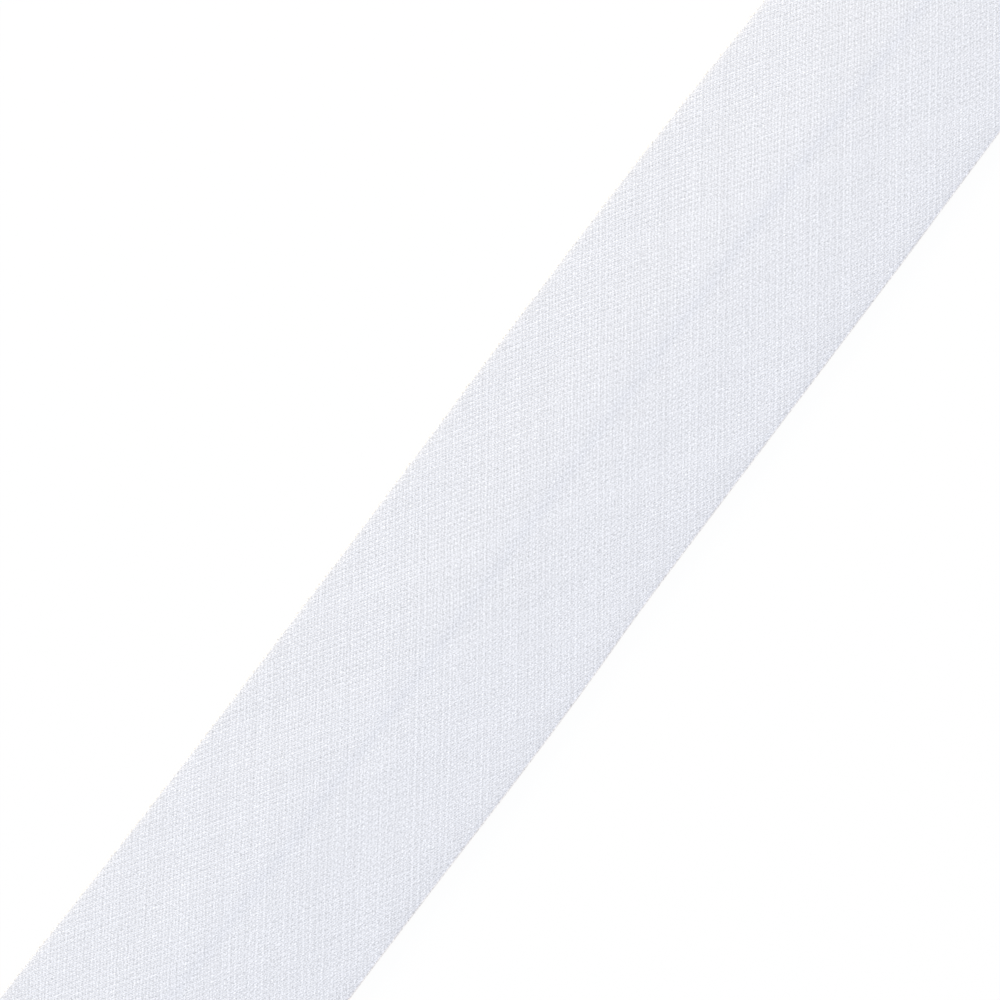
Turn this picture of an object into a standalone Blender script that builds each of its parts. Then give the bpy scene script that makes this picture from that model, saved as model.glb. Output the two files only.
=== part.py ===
"""A cut length of single-fold bias tape, lying flat with its face up.

One strip of cloth, cut on the bias, has both long edges turned under and pressed.
The two turned-in flaps lie under the face and stop just short of each other.
X runs along the tape, +Z is up, and the origin is under the middle of the strip.
"""

import math
from collections import namedtuple

import bmesh
import bpy

MM = 0.001

# Driving dimensions
LENGTH = 160 * MM
WIDTH = 25 * MM  # finished width, from fold to fold
CLOTH = 1.0 * MM  # thickness of the solid that stands for the cloth
LAYER_GAP = 0.5 * MM  # air between the face and the flap under it
FLAP_GAP = 1.0 * MM  # between the two raw edges, under the face
FLAP_GAP_MIDDLE = 0.2 * MM  # the flaps meet a little nearer to the far fold
CROWN = 0.25 * MM  # rise of the face from the folds to the middle
GROOVE_DEPTH = 0.25 * MM  # dip of the face over the space between the flaps
GROOVE_HALF_WIDTH = 2.2 * MM

# How finely the solid follows the cloth
SPANS = 32  # along the tape
FACE_STRIPS = 16  # across the face
BEND_STRIPS = 9  # round each fold

CLOTH_COLOUR = (0.82, 0.84, 0.88, 1.0)
CLOTH_ROUGHNESS = 0.75

# How far each folded edge strays from a straight line, in mm, towards the far side,
# with a row every STATION_STEP along the tape
STATION_STEP = 10 * MM
Lie = namedtuple("Lie", "station far near")
EDGE_LIE = (
    Lie(-80, 0.22, -0.02),
    Lie(-70, 0.25, 0.00),
    Lie(-60, 0.16, 0.02),
    Lie(-50, -0.04, 0.04),
    Lie(-40, -0.17, 0.02),
    Lie(-30, -0.25, -0.08),
    Lie(-20, -0.23, -0.21),
    Lie(-10, -0.20, -0.20),
    Lie(0, -0.10, 0.00),
    Lie(10, 0.00, -0.01),
    Lie(20, 0.06, -0.05),
    Lie(30, 0.06, -0.09),
    Lie(40, -0.07, -0.12),
    Lie(50, -0.29, -0.08),
    Lie(60, -0.38, -0.08),
    Lie(70, -0.36, -0.06),
    Lie(80, -0.30, -0.05),
)

# One place in a section: the middle of the cloth and the way its outer side faces
Place = namedtuple("Place", "y z out_y out_z")

BEND_RADIUS = (CLOTH + LAYER_GAP) / 2  # of the middle of the cloth round a fold
FLAP_MIDDLE = CLOTH / 2
FACE_MIDDLE = FLAP_MIDDLE + 2 * BEND_RADIUS


def clear_scene():
    """Remove every object that the file opened with."""
    for thing in list(bpy.data.objects):
        bpy.data.objects.remove(thing, do_unlink=True)


def smooth_between(before, low, high, after, share):
    """Pass from low to high on the curve that also runs through the values beside them."""
    slope_low = (high - before) / 2
    slope_high = (after - low) / 2
    rise = high - low
    bend = 3 * rise - 2 * slope_low - slope_high
    ease = slope_low + slope_high - 2 * rise
    return low + share * (slope_low + share * (bend + share * ease))


def edge_lie(x):
    """Return how far the far and the near fold stray at this place along the tape."""
    steps = (x - EDGE_LIE[0].station * MM) / STATION_STEP
    last = len(EDGE_LIE) - 1
    index = min(max(int(steps), 0), last - 1)
    rows = [EDGE_LIE[min(max(index + k, 0), last)] for k in (-1, 0, 1, 2)]
    far = smooth_between(*(row.far for row in rows), steps - index)
    near = smooth_between(*(row.near for row in rows), steps - index)
    return far * MM, near * MM


def relief(y, near_end, far_end):
    """Rise of the face at y: crowned between the folds, with a dip where the flaps end."""
    half = (far_end - near_end) / 2
    middle = (far_end + near_end) / 2
    crown = CROWN * math.cos(math.pi / 2 * (y - middle) / half)
    groove = GROOVE_DEPTH * math.exp(-(((y - FLAP_GAP_MIDDLE) / GROOVE_HALF_WIDTH) ** 2))
    return crown - groove


def folded_side(side, fold_y):
    """List one side from its raw edge to the start of the face; side is -1 near, 1 far."""
    bend_y = fold_y - side * (BEND_RADIUS + CLOTH / 2)
    raw_y = FLAP_GAP_MIDDLE + side * FLAP_GAP / 2
    places = [Place(raw_y, FLAP_MIDDLE, 0.0, -1.0)]
    for step in range(BEND_STRIPS + 1):
        turn = math.pi * step / BEND_STRIPS
        out_y = side * math.sin(turn)
        out_z = -math.cos(turn)
        y = bend_y + BEND_RADIUS * out_y
        z = FLAP_MIDDLE + BEND_RADIUS * (1 + out_z)
        places.append(Place(y, z, out_y, out_z))
    return places


def section(x):
    """List the places across the folded cloth at x, from the near raw edge to the far one."""
    far_lie, near_lie = edge_lie(x)
    near = folded_side(-1, -WIDTH / 2 + near_lie)
    far = folded_side(1, WIDTH / 2 + far_lie)
    near_end, far_end = near[-1].y, far[-1].y
    face = []
    for strip in range(1, FACE_STRIPS):
        y = near_end + (far_end - near_end) * strip / FACE_STRIPS
        face.append(Place(y, FACE_MIDDLE + relief(y, near_end, far_end), 0.0, 1.0))
    return near + face + far[::-1]


def section_points(x):
    """Return the outer and the inner side of the section at x as two lists of points."""
    half = CLOTH / 2
    places = section(x)
    outer = [(x, p.y + half * p.out_y, p.z + half * p.out_z) for p in places]
    inner = [(x, p.y - half * p.out_y, p.z - half * p.out_z) for p in places]
    return outer, inner


def close_end(shape, points):
    """Fill the cut end between its outer and inner points with a strip of faces."""
    count = len(points) // 2
    for i in range(count - 1):
        corners = (points[i], points[i + 1], points[count + i + 1], points[count + i])
        shape.faces.new(corners)


def tape_mesh():
    """Draw the section at one end and extrude its outline, station by station."""
    shape = bmesh.new()
    number = shape.verts.layers.int.new("number")
    outer, inner = section_points(-LENGTH / 2)
    points = [shape.verts.new(place) for place in outer + inner]
    for index, point in enumerate(points):
        point[number] = index
    close_end(shape, points)
    outline = [edge for edge in shape.edges if edge.is_boundary]
    for span in range(1, SPANS + 1):
        outer, inner = section_points(-LENGTH / 2 + LENGTH * span / SPANS)
        places = outer + inner
        grown = bmesh.ops.extrude_edge_only(shape, edges=outline)["geom"]
        outline = [part for part in grown if isinstance(part, bmesh.types.BMEdge)]
        points = [part for part in grown if isinstance(part, bmesh.types.BMVert)]
        points.sort(key=lambda point: point[number])
        for point, place in zip(points, places):
            point.co = place
    close_end(shape, points)
    bmesh.ops.recalc_face_normals(shape, faces=shape.faces)
    mesh = bpy.data.meshes.new("bias_tape")
    shape.to_mesh(mesh)
    shape.free()
    return mesh


def cloth_material():
    """White woven cotton, matt and slightly cool."""
    material = bpy.data.materials.new("white_cotton")
    material.use_nodes = True
    surface = material.node_tree.nodes["Principled BSDF"]
    surface.inputs["Base Color"].default_value = CLOTH_COLOUR
    surface.inputs["Roughness"].default_value = CLOTH_ROUGHNESS
    surface.inputs["Metallic"].default_value = 0.0
    return material


def make_tape():
    """Add the folded strip to the scene as one object."""
    tape = bpy.data.objects.new("bias_tape", tape_mesh())
    bpy.context.scene.collection.objects.link(tape)
    tape.data.materials.append(cloth_material())
    tape.data.shade_smooth()
    tape.data.set_sharp_from_angle(angle=math.radians(40))
    return tape


def main():
    clear_scene()
    make_tape()


if __name__ == "__main__":
    main()
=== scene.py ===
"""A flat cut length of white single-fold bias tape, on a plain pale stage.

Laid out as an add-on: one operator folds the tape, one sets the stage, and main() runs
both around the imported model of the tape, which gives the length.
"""

import math
from collections import namedtuple

import bmesh
import bpy
from bpy.props import FloatProperty, FloatVectorProperty, PointerProperty
from mathutils import Matrix, Vector, noise


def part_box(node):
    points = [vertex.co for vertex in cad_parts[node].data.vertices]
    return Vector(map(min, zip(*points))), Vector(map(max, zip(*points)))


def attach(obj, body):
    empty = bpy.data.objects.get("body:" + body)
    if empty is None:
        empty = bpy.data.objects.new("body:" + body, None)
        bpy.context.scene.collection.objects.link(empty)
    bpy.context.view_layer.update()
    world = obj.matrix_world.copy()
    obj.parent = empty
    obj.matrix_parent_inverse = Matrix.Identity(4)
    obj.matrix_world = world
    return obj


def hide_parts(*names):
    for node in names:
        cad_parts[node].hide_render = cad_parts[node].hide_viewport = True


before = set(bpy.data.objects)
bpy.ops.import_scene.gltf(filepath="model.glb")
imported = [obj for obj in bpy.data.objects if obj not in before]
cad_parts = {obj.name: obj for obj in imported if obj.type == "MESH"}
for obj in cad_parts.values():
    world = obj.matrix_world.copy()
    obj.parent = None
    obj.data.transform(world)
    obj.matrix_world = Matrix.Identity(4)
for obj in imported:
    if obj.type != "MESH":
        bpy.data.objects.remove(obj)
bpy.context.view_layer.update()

bl_info = {
    "name": "Bias Tape",
    "version": (1, 0, 0),
    "blender": (4, 5, 0),
    "location": "View3D > Sidebar > Bias Tape",
    "description": "Folds a flat cut length of bias tape and sets a pale stage under it",
    "category": "Object",
}

MM = 0.001
NODE_LOW, NODE_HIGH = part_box("bias_tape")
LENGTH = NODE_HIGH.x - NODE_LOW.x

# How finely the sheet follows the cloth
ROW_STEP = 0.2 * MM  # along the tape, fine enough for the threads at the folds
FACE_STEP = 1.2 * MM  # the widest column of the face
BEND_COLUMNS = 6
FLAP_COLUMNS = 5
HAIR = 0.001 * MM  # places closer than this count as one
CREASE = math.radians(50)  # edges sharper than this aren't smoothed

# How far the cloth strays from a plain fold
UNEVEN = 0.02 * MM  # rise and fall of the pressed face
UNEVEN_ALONG = 9 * MM  # length of that rise and fall
UNEVEN_ACROSS = 5 * MM
EVEN_MARGIN = 2 * MM  # beside each fold, where it dies away
THREAD_RELIEF = 0.02 * MM  # of the threads in the outline of a fold
RELIEF_ON_TOP = 0.3  # share of it that lifts the upper side of the fold
RAGGED = 0.10 * MM  # short waver of a raw edge
RAGGED_LENGTH = 1.1 * MM
WANDER = 0.30 * MM  # long waver of a raw edge
WANDER_LENGTH = 14 * MM

# Places in the noise that keep these apart
UNEVEN_SEED = 3.7
RAGGED_SEED = 7.0
WANDER_SEED = 3.0
WANDER_LEVEL = 5.0

# How the weave is drawn
WAVER = 0.4  # of the threads, in threads
WAVER_SCALE = 350.0  # of the noise that they waver by, over the flat cloth in metres
HALF_BLEND = 6 * MM  # width of the change from the look of one flap to that of the other
FOLD_SHADE_START = 10.6  # mm from the middle, where the shade painted along the near fold begins
FOLD_SHADE_REACH = 1.3  # mm from there to where that painted shade is full
THREAD_BUMP = 0.008 * MM  # depth of the bump between threads
MATT = 0.9  # roughness of the cotton and of the panel

# How the stage is set, with its lengths in metres
FLOOR_SIZE = 8
FLOOR_DROP = 0.02 * MM  # below the tape, so that the two don't touch
PANEL_GLOW = 0.8905  # of the lit panel, which the other light brings to nearly pure white
KEY_WAY = 1.05 * Vector((0.643, 0.766, 0.0))  # along the floor, from the tape to under the key
KEY_PLACE = KEY_WAY + Vector((0, 0, 0.166))
KEY_SIZE = (0.53, 0.186)
EDGE_PLACE = Vector((0, 0, 0.018)) - KEY_WAY
EDGE_SIZE = (0.53, 0.03)
AIM_HEIGHT = 0.6 * MM  # of the point on the face that the camera looks at

# How far each folded edge strays from a straight line, in mm, towards the far side, at
# stations in mm along the tape
STATION_STEP = 10 * MM
Lie = namedtuple("Lie", "station far near")
EDGE_LIE = (
    Lie(-80, 0.22, -0.02),
    Lie(-70, 0.25, 0.00),
    Lie(-60, 0.16, 0.02),
    Lie(-50, -0.04, 0.04),
    Lie(-40, -0.17, 0.02),
    Lie(-30, -0.25, -0.08),
    Lie(-20, -0.23, -0.21),
    Lie(-10, -0.20, -0.20),
    Lie(0, -0.10, 0.00),
    Lie(10, 0.00, -0.01),
    Lie(20, 0.06, -0.05),
    Lie(30, 0.06, -0.09),
    Lie(40, -0.07, -0.12),
    Lie(50, -0.29, -0.08),
    Lie(60, -0.38, -0.08),
    Lie(70, -0.36, -0.06),
    Lie(80, -0.30, -0.05),
)

# How steeply the pressed face rises towards the far side, at places in mm from its middle,
# worked back from the photo's shading. It rises most steeply over the gap between the
# flaps, is highest a little beyond that, and falls gently to the far fold.
Slope = namedtuple("Slope", "across rise")
FACE_SLOPES = (
    Slope(-12.22, -0.012),
    Slope(-11.80, 0.068),
    Slope(-11.45, 0.066),
    Slope(-11.00, 0.048),
    Slope(-10.40, 0.054),
    Slope(-9.50, 0.045),
    Slope(-8.25, 0.040),
    Slope(-6.25, 0.040),
    Slope(-3.75, 0.038),
    Slope(-1.90, 0.018),
    Slope(-1.00, 0.005),
    Slope(-0.50, 0.022),
    Slope(-0.15, 0.056),
    Slope(0.10, 0.087),
    Slope(0.35, 0.107),
    Slope(0.60, 0.050),
    Slope(1.00, 0.020),
    Slope(1.60, 0.003),
    Slope(2.50, -0.008),
    Slope(3.60, -0.017),
    Slope(5.25, -0.0245),
    Slope(9.60, -0.0245),
    Slope(11.00, -0.032),
    Slope(11.75, -0.043),
    Slope(12.22, -0.050),
)


def hex_to_linear(text):
    """Turn an sRGB hex colour such as #EDEFF3 into linear red, green and blue."""
    shares = [int(text[i : i + 2], 16) / 255 for i in (1, 3, 5)]
    return [s / 12.92 if s <= 0.04045 else ((s + 0.055) / 1.055) ** 2.4 for s in shares]


class TapeSettings(bpy.types.PropertyGroup):
    """Sizes of the folded tape."""

    width: FloatProperty(
        name="Finished width", description="From fold to fold", default=25 * MM, unit="LENGTH"
    )
    cloth: FloatProperty(
        name="Cloth", description="Thickness of the woven cloth", default=0.20 * MM, unit="LENGTH"
    )
    fold_height: FloatProperty(
        name="Fold height", description="Height of a pressed fold", default=0.44 * MM, unit="LENGTH"
    )
    flap_gap: FloatProperty(
        name="Flap gap", description="Between the raw edges", default=1.0 * MM, unit="LENGTH"
    )
    gap_middle: FloatProperty(
        name="Gap place", description="Of the gap, off the middle", default=0.2 * MM, unit="LENGTH"
    )


class WeaveSettings(bpy.types.PropertyGroup):
    """Thread spacing, slant and colours of the cloth."""

    warp_pitch: FloatProperty(
        name="Warp pitch", description="Between warp threads", default=0.298 * MM, unit="LENGTH"
    )
    weft_pitch: FloatProperty(
        name="Weft pitch", description="Between weft threads", default=0.2374 * MM, unit="LENGTH"
    )
    warp_slant: FloatProperty(
        name="Warp slant",
        description="From the tape's line, to the far side",
        default=math.radians(35.7),
        subtype="ANGLE",
    )
    weft_slant: FloatProperty(
        name="Weft slant",
        description="From the tape's line, to the near side",
        default=math.radians(31.8),
        subtype="ANGLE",
    )
    thread_colour: FloatVectorProperty(
        name="Thread",
        description="Crown of a thread",
        default=hex_to_linear("#DDDFE5"),
        subtype="COLOR",
    )


class StageSettings(bpy.types.PropertyGroup):
    """Camera, lights and floor."""

    distance: FloatProperty(
        name="Distance", description="From the camera to the cloth", default=0.4, unit="LENGTH"
    )
    lens: FloatProperty(name="Lens", description="Focal length in mm", default=158.8)
    heading: FloatProperty(
        name="Heading",
        description="Of the picture's upward direction, from the tape's line",
        default=math.radians(36.81),
        subtype="ANGLE",
    )
    tilt: FloatProperty(
        name="Tilt",
        description="Of the camera from straight down",
        default=math.radians(7.71),
        subtype="ANGLE",
    )
    across: FloatProperty(
        name="Across",
        description="Of the picture's middle, off the tape's",
        default=3.716 * MM,
        unit="LENGTH",
    )
    floor_colour: FloatVectorProperty(
        name="Floor",
        description="Opal face of the lit panel",
        default=hex_to_linear("#555555"),
        subtype="COLOR",
    )
    key_power: FloatProperty(
        name="Key", description="Power of the main light, in watts", default=11.4
    )
    key_colour: FloatVectorProperty(
        name="Key colour",
        description="Warm light from low over the far side",
        default=hex_to_linear("#FFE6AF"),
        subtype="COLOR",
    )
    edge_power: FloatProperty(
        name="Edge", description="Power of the light on the near fold, in watts", default=3.1
    )
    edge_colour: FloatVectorProperty(
        name="Edge colour",
        description="Faint warm light from low over the near side",
        default=hex_to_linear("#FFCB59"),
        subtype="COLOR",
    )
    fill: FloatProperty(
        name="Fill", description="Strength of the light from all round", default=1.147
    )
    fill_colour: FloatVectorProperty(
        name="Fill colour",
        description="Cool light from all round",
        default=hex_to_linear("#F6F9FF"),
        subtype="COLOR",
    )


def add_node(tree, kind, inputs=(), output=0, **settings):
    """Add a node with its settings, link or fill its inputs, and return one output if any."""
    node = tree.nodes.new(kind)
    for name, value in settings.items():
        setattr(node, name, value)
    pairs = inputs.items() if isinstance(inputs, dict) else enumerate(inputs)
    for key, value in pairs:
        if isinstance(value, bpy.types.NodeSocket):
            tree.links.new(value, node.inputs[key])
        else:
            node.inputs[key].default_value = value
    return node.outputs[output] if len(node.outputs) else None


# Where the threads lie. Each step has its name, the sum it does, and what it works on.
LAY_STEPS = (
    # 0 over the far flap, 1 over the near one
    ("near_half", "MULTIPLY_ADD", "across", -1 / HALF_BLEND, 0.5),
    ("near_half", "MAXIMUM", "near_half", 0.0),
    ("near_half", "MINIMUM", "near_half", 1.0),
    # 1 from the near fold on, where shade is painted into the cloth's colour
    ("fold_shade", "MULTIPLY_ADD", "across", -1 / (FOLD_SHADE_REACH * MM), -FOLD_SHADE_START / FOLD_SHADE_REACH),
    ("fold_shade", "MAXIMUM", "fold_shade", 0.0),
    ("fold_shade", "MINIMUM", "fold_shade", 1.0),
    # the weft picks lie in pairs, so every second space between them is wider
    ("pair_swing", "MULTIPLY", "weft_count", math.pi),
    ("pair_swing", "SINE", "pair_swing"),
    ("weft_place", "MULTIPLY_ADD", "pair_swing", "pairing", "weft_count"),
    ("warp_number", "FLOOR", "warp_place"),
    ("weft_number", "FLOOR", "weft_place"),
)

# Random numbers, one for each crossing or thread: their name, what they go by, and a seed
CHANCES = (
    ("warp_aside", "warp_number", "weft_number", 1.0),
    ("weft_aside", "warp_number", "weft_number", 2.0),
    ("warp_lean", "warp_number", "weft_number", 3.0),
    ("weft_lean", "warp_number", "weft_number", 4.0),
    ("warp_tone", "warp_number", 0.0, 5.0),
    ("weft_tone", 0.0, "weft_number", 6.0),
)

# How high each thread lies, and which of the two shows
HEIGHT_STEPS = (
    ("warp_across", "FRACT", "warp_place"),
    ("warp_across", "SUBTRACT", "warp_across", 0.5),
    ("weft_across", "FRACT", "weft_place"),
    ("weft_across", "SUBTRACT", "weft_across", 0.5),
    # a thread is round across, and each float of it lies a little to one side
    ("warp_aside", "SUBTRACT", "warp_aside", 0.5),
    ("warp_round", "MULTIPLY_ADD", "warp_aside", "aside", "warp_across"),
    ("warp_round", "MULTIPLY", "warp_round", math.pi),
    ("warp_round", "COSINE", "warp_round"),
    ("weft_aside", "SUBTRACT", "weft_aside", 0.5),
    ("weft_round", "MULTIPLY_ADD", "weft_aside", "aside", "weft_across"),
    ("weft_round", "MULTIPLY", "weft_round", math.pi),
    ("weft_round", "COSINE", "weft_round"),
    # a thread rises over every second thread that it crosses
    ("warp_rise", "ADD", "weft_place", "warp_number"),
    ("warp_rise", "SUBTRACT", "warp_rise", 0.5),
    ("warp_rise", "MULTIPLY", "warp_rise", math.pi),
    ("warp_rise", "COSINE", "warp_rise"),
    ("weft_rise", "ADD", "warp_place", "weft_number"),
    ("weft_rise", "ADD", "weft_rise", 0.5),
    ("weft_rise", "MULTIPLY", "weft_rise", math.pi),
    ("weft_rise", "COSINE", "weft_rise"),
    ("warp_top", "MULTIPLY_ADD", "warp_rise", "crimp", "warp_round"),
    ("weft_top", "MULTIPLY_ADD", "weft_rise", "crimp", "weft_round"),
    ("height", "MAXIMUM", "warp_top", "weft_top"),
    ("warp_shows", "GREATER_THAN", "warp_top", "weft_top"),
    # how much light gets down to this height
    ("open", "SUBTRACT", "height", "gap_floor"),
    ("open", "DIVIDE", "open", "gap_rise"),
    ("open", "MAXIMUM", "open", 0.0),
    ("open", "MINIMUM", "open", 1.0),
    ("open", "POWER", "open", "gap_curve"),
)

# How bright the thread is that shows
TONE_STEPS = (
    ("warp_turn", "MULTIPLY", "warp_across", 2 * math.pi),
    ("warp_turn", "SINE", "warp_turn"),
    ("warp_lean", "SUBTRACT", "warp_lean", 0.5),
    ("warp_lean", "MULTIPLY", "warp_lean", "warp_turn"),
    ("weft_turn", "MULTIPLY", "weft_across", 2 * math.pi),
    ("weft_turn", "SINE", "weft_turn"),
    ("weft_lean", "SUBTRACT", "weft_lean", 0.5),
    ("weft_lean", "MULTIPLY", "weft_lean", "weft_turn"),
    ("lean", "ADD", "warp_lean", "weft_lean"),
    ("warp_odd", "FLOORED_MODULO", "warp_number", 2.0),
    ("weft_odd", "FLOORED_MODULO", "weft_number", 2.0),
    ("warp_tone", "MULTIPLY_ADD", "warp_tone", "thread_spread", 1.0),
    ("warp_tone", "MULTIPLY_ADD", "warp_odd", "warp_odd_tone", "warp_tone"),
    ("warp_tone", "MULTIPLY_ADD", "warp_fibre", "fibre_spread", "warp_tone"),
    ("weft_tone", "MULTIPLY_ADD", "weft_tone", "thread_spread", "weft_base"),
    ("weft_tone", "MULTIPLY_ADD", "weft_odd", "weft_odd_tone", "weft_tone"),
    ("weft_tone", "MULTIPLY_ADD", "weft_fibre", "fibre_spread", "weft_tone"),
    ("warp_part", "MULTIPLY", "warp_shows", "warp_tone"),
    ("weft_shows", "SUBTRACT", 1.0, "warp_shows"),
    ("tone", "MULTIPLY_ADD", "weft_shows", "weft_tone", "warp_part"),
    ("tone", "MULTIPLY_ADD", "lean", "lean_spread", "tone"),
    # painted shade in the gaps, where little light gets down
    ("gap_shade", "SUBTRACT", 1.0, "open"),
    ("gap_shade", "MULTIPLY", "gap_shade", "gap_shade_depth"),
    ("tone", "SUBTRACT", "tone", "gap_shade"),
    # painted shade along the near fold
    ("tone", "MULTIPLY_ADD", "fold_shade", "fold_shade_depth", "tone"),
)

# Ripples of brightness over the threads, painted into the colour: partly painted highlight and
# shade over the threads' relief, partly marks of the weave. Each takes so many waves per warp and
# per weft thread, starts at a share of a turn, and is as deep as this over the far and near flap.
# Their depths follow the photo. The causes given for them are a reading, not known facts.
Ripple = namedtuple("Ripple", "warp weft turn far near")
RIPPLES = (
    # the light picks out one slant of the floats over the near flap
    Ripple(0.5, -0.5, 0.0, -0.005, 0.018),
    Ripple(0.5, 0.5, 0.0, 0.009, 0.009),
    # every second thread stands a little higher, with painted highlight and shade to match
    Ripple(0.5, 0.0, 0.25, -0.004, -0.016),
    Ripple(0.0, 0.5, 0.25, 0.004, -0.006),
    Ripple(0.5, -1.0, 0.0, 0.025, 0.048),
    # painted highlight and shade across each thread, deeper over the near flap, where the threads
    # are pressed flatter
    Ripple(1.0, 0.0, 0.0, -0.004, 0.011),
    Ripple(0.0, 1.0, 0.0, 0.014, 0.022),
    # marks that the reed leaves along the warp
    Ripple(0.61, 0.0, 0.0, 0.015, 0.015),
    # the twist of the yarn, across every float
    Ripple(1.3, 1.31, 0.0, 0.06, 0.04),
)

# Plain numbers that the steps use
WEAVE_NUMBERS = {
    "pairing": 0.08,  # how far the picks of a pair lie off their even places, in picks
    "aside": 0.08,  # spread of the floats to either side, in threads
    "crimp": 0.5,  # rise and fall of a thread, against its own roundness
    "gap_floor": 0.2,  # height where the painted shade of the gaps is deepest
    "gap_rise": 1.3,  # from there up to the height without shade
    "gap_curve": 0.6,  # power of the change between the two
    "gap_shade_depth": 0.20,  # how much darker the painted shade makes a gap
    "thread_spread": 0.05,  # difference from thread to thread
    "warp_odd_tone": -0.03,  # of every second warp thread
    "weft_odd_tone": -0.05,  # of every second weft thread
    "weft_base": 0.95,  # brightness of the weft against the warp
    "fibre_spread": 0.575,  # of the streaks along the threads
    "lean_spread": 0.08,  # of floats that are brighter on one side
    "fold_shade_depth": -0.023,  # painted shade of the cloth along the near fold
}


def work_through(tree, steps, values):
    """Add a maths node for every step and keep each result under its name."""
    for name, operation, *inputs in steps:
        given = [values.get(value, value) for value in inputs]
        values[name] = add_node(tree, "ShaderNodeMath", given, operation=operation)


def add_ripples(tree, values):
    """Add every ripple to the tone."""
    full = 2 * math.pi
    for ripple in RIPPLES:
        steps = (
            ("angle", "MULTIPLY_ADD", "warp_place", full * ripple.warp, -full * ripple.turn),
            ("angle", "MULTIPLY_ADD", "weft_place", full * ripple.weft, "angle"),
            ("wave", "COSINE", "angle"),
            ("depth", "MULTIPLY_ADD", "near_half", ripple.near - ripple.far, ripple.far),
            ("tone", "MULTIPLY_ADD", "wave", "depth", "tone"),
        )
        work_through(tree, steps, values)


def thread_place(tree, cloth, waver, slant, pitch, way):
    """Return the count of threads of one set up to a place on the cloth."""
    across = (math.sin(slant) / pitch, way * math.cos(slant) / pitch, 0.0)
    count = add_node(
        tree, "ShaderNodeVectorMath", (cloth, across), output="Value", operation="DOT_PRODUCT"
    )
    return add_node(tree, "ShaderNodeMath", (waver, WAVER, count), operation="MULTIPLY_ADD")


def thread_values(tree, weave):
    """Return every named value of the weave, worked out from the flat cloth's own map."""
    cloth = add_node(tree, "ShaderNodeUVMap", uv_map="cloth")
    values = dict(WEAVE_NUMBERS)
    # the two sets read the same noise at places well apart, so they waver differently
    for name, slant, pitch, way, aside in (
        ("warp_place", weave.warp_slant, weave.warp_pitch, -1, 0.0),
        ("weft_count", weave.weft_slant, weave.weft_pitch, 1, 5.0),
    ):
        moved = add_node(tree, "ShaderNodeVectorMath", (cloth, (aside, 0, 0)), operation="ADD")
        waver = add_node(
            tree,
            "ShaderNodeTexNoise",
            {"Vector": moved, "Scale": WAVER_SCALE, "Detail": 1.0},
            noise_dimensions="2D",
        )
        values[name] = thread_place(tree, cloth, waver, slant, pitch, way)
    values["across"] = add_node(tree, "ShaderNodeSeparateXYZ", (cloth,), output="Y")
    work_through(tree, LAY_STEPS, values)
    for name, warp, weft, seed in CHANCES:
        place = (values.get(warp, warp), values.get(weft, weft), seed)
        crossing = add_node(tree, "ShaderNodeCombineXYZ", place)
        values[name] = add_node(tree, "ShaderNodeTexWhiteNoise", {"Vector": crossing})
    threads = add_node(
        tree, "ShaderNodeCombineXYZ", (values["warp_place"], values["weft_place"], 0.0)
    )
    # fibres run along their thread, so their streaks are long one way and fine the other:
    # each set has so many streaks to a warp thread and to a weft thread
    for name, streak in (("warp_fibre", (3.8, 1.7, 1.0)), ("weft_fibre", (2.1, 3.2, 1.0))):
        drawn = add_node(tree, "ShaderNodeVectorMath", (threads, streak), operation="MULTIPLY")
        fibre = add_node(
            tree,
            "ShaderNodeTexNoise",
            {"Vector": drawn, "Scale": 1.0, "Detail": 0.0},
            noise_dimensions="2D",
        )
        values[name] = add_node(tree, "ShaderNodeMath", (fibre, 0.5), operation="SUBTRACT")
    work_through(tree, HEIGHT_STEPS, values)
    work_through(tree, TONE_STEPS, values)
    add_ripples(tree, values)
    return values


def cotton_poplin(weave):
    """White plain-woven cotton: matt threads that cross at a slant, with shade painted into the
    gaps.
    """
    material = bpy.data.materials.new("white_cotton_poplin")
    material.use_nodes = True
    tree = material.node_tree
    tree.nodes.clear()
    values = thread_values(tree, weave)
    colour = add_node(
        tree,
        "ShaderNodeVectorMath",
        {"Vector": weave.thread_colour, "Scale": values["tone"]},
        operation="SCALE",
    )
    relief = add_node(
        tree,
        "ShaderNodeBump",
        {"Strength": 1.0, "Distance": THREAD_BUMP, "Height": values["height"]},
    )
    surface = add_node(
        tree,
        "ShaderNodeBsdfPrincipled",
        {
            "Base Color": colour,
            "Roughness": MATT,
            "Specular IOR Level": 0.1,
            "Normal": relief,
        },
    )
    add_node(tree, "ShaderNodeOutputMaterial", {"Surface": surface})
    return material


def smooth_between(before, low, high, after, share):
    """Pass from low to high on the curve that also runs through the values beside them."""
    slope_low = (high - before) / 2
    slope_high = (after - low) / 2
    rise = high - low
    bend = 3 * rise - 2 * slope_low - slope_high
    ease = slope_low + slope_high - 2 * rise
    return low + share * (slope_low + share * (bend + share * ease))


def edge_lie(x):
    """Return how far the far and the near fold stray at this place along the tape."""
    steps = (x - EDGE_LIE[0].station * MM) / STATION_STEP
    last = len(EDGE_LIE) - 1
    index = min(max(int(steps), 0), last - 1)
    rows = [EDGE_LIE[min(max(index + k, 0), last)] for k in (-1, 0, 1, 2)]
    far = smooth_between(*(row.far for row in rows), steps - index)
    near = smooth_between(*(row.near for row in rows), steps - index)
    return far * MM, near * MM


def deselect_all():
    """Leave edit mode and select nothing."""
    if bpy.context.object and bpy.context.object.mode != "OBJECT":
        bpy.ops.object.mode_set(mode="OBJECT")
    bpy.ops.object.select_all(action="DESELECT")


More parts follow.
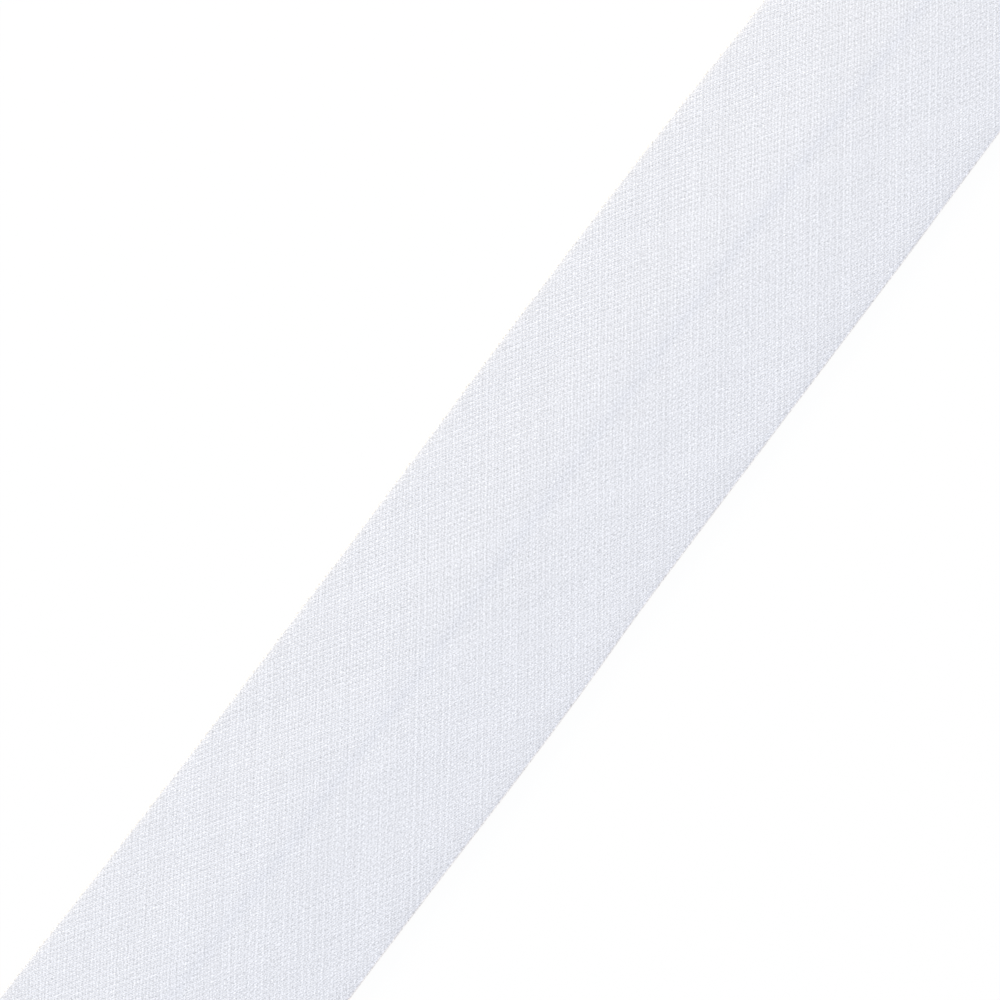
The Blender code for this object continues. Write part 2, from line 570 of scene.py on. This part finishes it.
def select_edges_at(y, z):
    """In edit mode, select only the edges that lie along this line of the tape."""
    bpy.context.tool_settings.mesh_select_mode = (False, True, False)
    bpy.ops.mesh.select_all(action="DESELECT")
    mesh = bpy.context.object.data
    shape = bmesh.from_edit_mesh(mesh)
    for edge in shape.edges:
        on_line = [abs(v.co.y - y) < HAIR and abs(v.co.z - z) < HAIR for v in edge.verts]
        edge.select_set(all(on_line))
    bmesh.update_edit_mesh(mesh)


class Fold:
    """The plain folded section that the cloth is first laid in."""

    def __init__(self, tape):
        self.radius = (tape.fold_height - tape.cloth) / 2
        self.flap_z = tape.cloth / 2
        self.axis_z = self.flap_z + self.radius
        self.face_z = self.flap_z + 2 * self.radius
        self.axis_y = tape.width / 2 - tape.cloth / 2 - self.radius
        self.bend = math.pi * self.radius
        self.lines = face_lines(self.axis_y)
        half_gap = tape.flap_gap / 2
        self.raw_y = {1: tape.gap_middle + half_gap, -1: tape.gap_middle - half_gap}

    def on_face(self, z):
        """Tell whether a place at this height is on the face."""
        return z > self.face_z - HAIR

    def across_cloth(self, y, z):
        """Distance from the middle of the face to this place, measured over the cloth."""
        side = 1 if y > 0 else -1
        if self.on_face(z):
            return y
        if abs(y) > self.axis_y:
            turn = math.atan2(abs(y) - self.axis_y, z - self.axis_z)
            return side * (self.axis_y + self.radius * turn)
        return side * (self.axis_y + self.bend + self.axis_y - abs(y))


def press_face(strip, fold):
    """In edit mode, move the lines of the flat face to where they lie when it is pressed."""
    shape = bmesh.from_edit_mesh(strip.data)
    for vertex in shape.verts:
        column = round((vertex.co.y / (2 * fold.axis_y) + 0.5) * (len(fold.lines) - 1))
        y, rise = fold.lines[column]
        vertex.co.y = y
        vertex.co.z += rise
    bmesh.update_edit_mesh(strip.data)


def lay_folded_strip(fold):
    """Lay a grid for the face, spin each edge round its fold and draw out the flaps."""
    deselect_all()
    rows = round(LENGTH / ROW_STEP)
    columns = len(fold.lines) - 1
    bpy.ops.mesh.primitive_grid_add(
        x_subdivisions=rows, y_subdivisions=columns, size=1, enter_editmode=True
    )
    strip = bpy.context.object
    strip.name = strip.data.name = "bias_tape_cloth"
    middle = (0.0, 0.0, 0.0)
    bpy.ops.transform.resize(value=(LENGTH, 2 * fold.axis_y, 1), center_override=middle)
    bpy.ops.transform.translate(value=(0, 0, fold.face_z))
    press_face(strip, fold)
    for side in (1, -1):
        select_edges_at(side * fold.axis_y, fold.face_z)
        bpy.ops.mesh.spin(
            steps=BEND_COLUMNS,
            angle=math.pi,
            center=(0, side * fold.axis_y, fold.axis_z),
            axis=(side, 0, 0),
        )
        flap = fold.axis_y - side * fold.raw_y[side]
        for _ in range(FLAP_COLUMNS):
            move = {"value": (0, -side * flap / FLAP_COLUMNS, 0)}
            bpy.ops.mesh.extrude_region_move(TRANSFORM_OT_translate=move)
    bpy.ops.mesh.select_all(action="SELECT")
    bpy.ops.mesh.normals_make_consistent(inside=False)
    bpy.ops.object.mode_set(mode="OBJECT")
    return strip


def chart_cloth(strip, fold):
    """Give the strip a UV map in metres over the flat cloth, so the weave follows it."""
    mesh = strip.data
    while mesh.uv_layers:
        mesh.uv_layers.remove(mesh.uv_layers[0])
    chart = mesh.uv_layers.new(name="cloth")
    for loop in mesh.loops:
        place = mesh.vertices[loop.vertex_index].co
        chart.data[loop.index].uv = (place.x, fold.across_cloth(place.y, place.z))


def face_lines(half):
    """List the lines of the face, this wide on each side, and how high each of them lies."""
    stretch = half / FACE_SLOPES[-1].across
    lines = [(FACE_SLOPES[0].across * stretch, 0.0)]
    for low, high in zip(FACE_SLOPES, FACE_SLOPES[1:]):
        gap = (high.across - low.across) * stretch
        pieces = math.ceil(gap / FACE_STEP)
        for piece in range(pieces):
            share = (piece + 0.5) / pieces
            rise = low.rise + (high.rise - low.rise) * share
            y, z = lines[-1]
            lines.append((y + gap / pieces, z + rise * gap / pieces))
    tilt = lines[-1][1] / (lines[-1][0] - lines[0][0])
    return [(y, z - tilt * (y - lines[0][0])) for y, z in lines]


def unevenness(fold, x, y):
    """A slight rise and fall of the pressed face, none at its folds."""
    inside = fold.axis_y - abs(y)
    wave = noise.noise(Vector((x / UNEVEN_ALONG, y / UNEVEN_ACROSS, UNEVEN_SEED)))
    return UNEVEN * wave * min(inside / EVEN_MARGIN, 1.0)


def thread_height(weave, along, across):
    """Height of the weave, 0 to 1, where it shows in the outline of a fold."""
    slant = weave.warp_slant
    warp = (along * math.sin(slant) - across * math.cos(slant)) / weave.warp_pitch
    slant = weave.weft_slant
    weft = (along * math.sin(slant) + across * math.cos(slant)) / weave.weft_pitch
    return 0.5 + 0.5 * math.sin(math.pi * warp) * math.sin(math.pi * weft)


def settle_cloth(strip, tape, weave, fold):
    """Move the plain strip's points to where the cloth really lies."""
    for vertex in strip.data.vertices:
        x, y, z = vertex.co
        far, near = edge_lie(x)
        if fold.on_face(z):
            vertex.co.z += unevenness(fold, x, y)
        elif abs(y) > fold.axis_y:
            out = Vector((0, (abs(y) - fold.axis_y) * (1 if y > 0 else -1), z - fold.axis_z))
            out.normalize()
            lift = THREAD_RELIEF * thread_height(weave, x, fold.across_cloth(y, z))
            vertex.co.y += out.y * lift
            vertex.co.z += max(out.z, 0.0) * lift * RELIEF_ON_TOP
        else:
            side = 1 if y > 0 else -1
            reach = (fold.axis_y - abs(y)) / (fold.axis_y - side * fold.raw_y[side])
            ragged = noise.noise(Vector((x / RAGGED_LENGTH, side * RAGGED_SEED, 0.0)))
            wander = noise.noise(Vector((x / WANDER_LENGTH, side * WANDER_SEED, WANDER_LEVEL)))
            # only the cloth beside the raw edge moves with it
            vertex.co.y += (RAGGED * ragged + WANDER * wander) * reach**3
        share = min(max((y + tape.width / 2) / tape.width, 0.0), 1.0)
        vertex.co.y += near + (far - near) * share


def thicken_cloth(strip, tape):
    """Give the sheet its two sides and its raw edges."""
    solid = strip.modifiers.new("thickness", "SOLIDIFY")
    solid.thickness = tape.cloth
    solid.offset = 0.0
    solid.use_rim = True
    deselect_all()
    strip.select_set(True)
    bpy.context.view_layer.objects.active = strip
    bpy.ops.object.modifier_apply(modifier=solid.name)
    bpy.ops.object.shade_smooth_by_angle(angle=CREASE)


class BIASTAPE_OT_fold_tape(bpy.types.Operator):
    """Fold the strip of cloth flat, with both long edges turned under"""

    bl_idname = "biastape.fold_tape"
    bl_label = "Fold the tape"

    def execute(self, context):
        tape, weave = context.scene.bias_tape, context.scene.bias_tape_weave
        fold = Fold(tape)
        strip = lay_folded_strip(fold)
        chart_cloth(strip, fold)
        settle_cloth(strip, tape, weave, fold)
        thicken_cloth(strip, tape)
        strip.data.materials.append(cotton_poplin(weave))
        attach(strip, "root")
        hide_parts("bias_tape")
        return {"FINISHED"}


def lit_panel(colour):
    """Opal panel, as if lit from below: an even white that keeps only a breath of shade."""
    material = bpy.data.materials.new("lit_opal_panel")
    material.use_nodes = True
    tree = material.node_tree
    tree.nodes.clear()
    surface = add_node(
        tree,
        "ShaderNodeBsdfPrincipled",
        {
            "Base Color": (*colour, 1.0),
            "Roughness": MATT,
            "Specular IOR Level": 0.0,
            "Emission Color": (1.0, 1.0, 1.0, 1.0),
            "Emission Strength": PANEL_GLOW,
        },
    )
    add_node(tree, "ShaderNodeOutputMaterial", {"Surface": surface})
    return material


def add_light(name, place, size, power, colour):
    """Add a soft rectangular light that faces the tape."""
    turn = (-place).to_track_quat("-Z", "Y").to_euler()
    bpy.ops.object.light_add(type="AREA", location=place, rotation=turn)
    light = bpy.context.object
    light.name = name
    light.data.shape = "RECTANGLE"
    light.data.size, light.data.size_y = size
    light.data.energy = power
    light.data.color = colour


class BIASTAPE_OT_set_stage(bpy.types.Operator):
    """Set the floor, the soft light and the camera"""

    bl_idname = "biastape.set_stage"
    bl_label = "Set the stage"

    def execute(self, context):
        stage = context.scene.bias_tape_stage
        deselect_all()
        bpy.ops.mesh.primitive_plane_add(size=FLOOR_SIZE, location=(0, 0, -FLOOR_DROP))
        floor = context.object
        floor.name = "floor"
        floor.data.materials.append(lit_panel(stage.floor_colour))

        # the key comes low over the far side of the tape, from the picture's top left
        add_light("key_light", KEY_PLACE, KEY_SIZE, stage.key_power, stage.key_colour)
        # a little warm light comes from the other side, just above the panel
        add_light("edge_light", EDGE_PLACE, EDGE_SIZE, stage.edge_power, stage.edge_colour)

        world = bpy.data.worlds.new("soft_room")
        world.use_nodes = True
        sky = world.node_tree.nodes["Background"]
        sky.inputs["Color"].default_value = (*stage.fill_colour, 1.0)
        sky.inputs["Strength"].default_value = stage.fill
        context.scene.world = world

        up = Vector((math.cos(stage.heading), math.sin(stage.heading), 0))
        look = Vector((0, 0, -math.cos(stage.tilt))) + up * math.sin(stage.tilt)
        right = look.cross(up).normalized()
        top = right.cross(look)
        middle = Vector((0, stage.across, AIM_HEIGHT))
        turn = Matrix((right, top, -look)).transposed().to_euler()
        bpy.ops.object.camera_add(location=middle - look * stage.distance, rotation=turn)
        camera = context.object
        camera.data.lens = stage.lens
        camera.data.clip_start = 0.01
        context.scene.camera = camera
        context.scene.view_settings.view_transform = "Standard"
        return {"FINISHED"}


class BIASTAPE_PT_panel(bpy.types.Panel):
    """List the tape's sizes and the operators that make it"""

    bl_label = "Bias Tape"
    bl_idname = "BIASTAPE_PT_panel"
    bl_space_type = "VIEW_3D"
    bl_region_type = "UI"
    bl_category = "Bias Tape"

    def draw(self, context):
        layout = self.layout
        for settings in (
            context.scene.bias_tape,
            context.scene.bias_tape_weave,
            context.scene.bias_tape_stage,
        ):
            box = layout.box()
            for name in settings.__annotations__:
                box.prop(settings, name)
        for maker in MAKERS:
            layout.operator(maker.bl_idname)


MAKERS = (BIASTAPE_OT_fold_tape, BIASTAPE_OT_set_stage)
CLASSES = (TapeSettings, WeaveSettings, StageSettings, *MAKERS, BIASTAPE_PT_panel)


def register():
    for each in CLASSES:
        bpy.utils.register_class(each)
    bpy.types.Scene.bias_tape = PointerProperty(type=TapeSettings)
    bpy.types.Scene.bias_tape_weave = PointerProperty(type=WeaveSettings)
    bpy.types.Scene.bias_tape_stage = PointerProperty(type=StageSettings)


def unregister():
    del bpy.types.Scene.bias_tape_stage
    del bpy.types.Scene.bias_tape_weave
    del bpy.types.Scene.bias_tape
    for each in reversed(CLASSES):
        bpy.utils.unregister_class(each)


def main():
    """Make every piece in order."""
    register()
    bpy.ops.biastape.set_stage()
    bpy.ops.biastape.fold_tape()


if __name__ == "__main__":
    main()
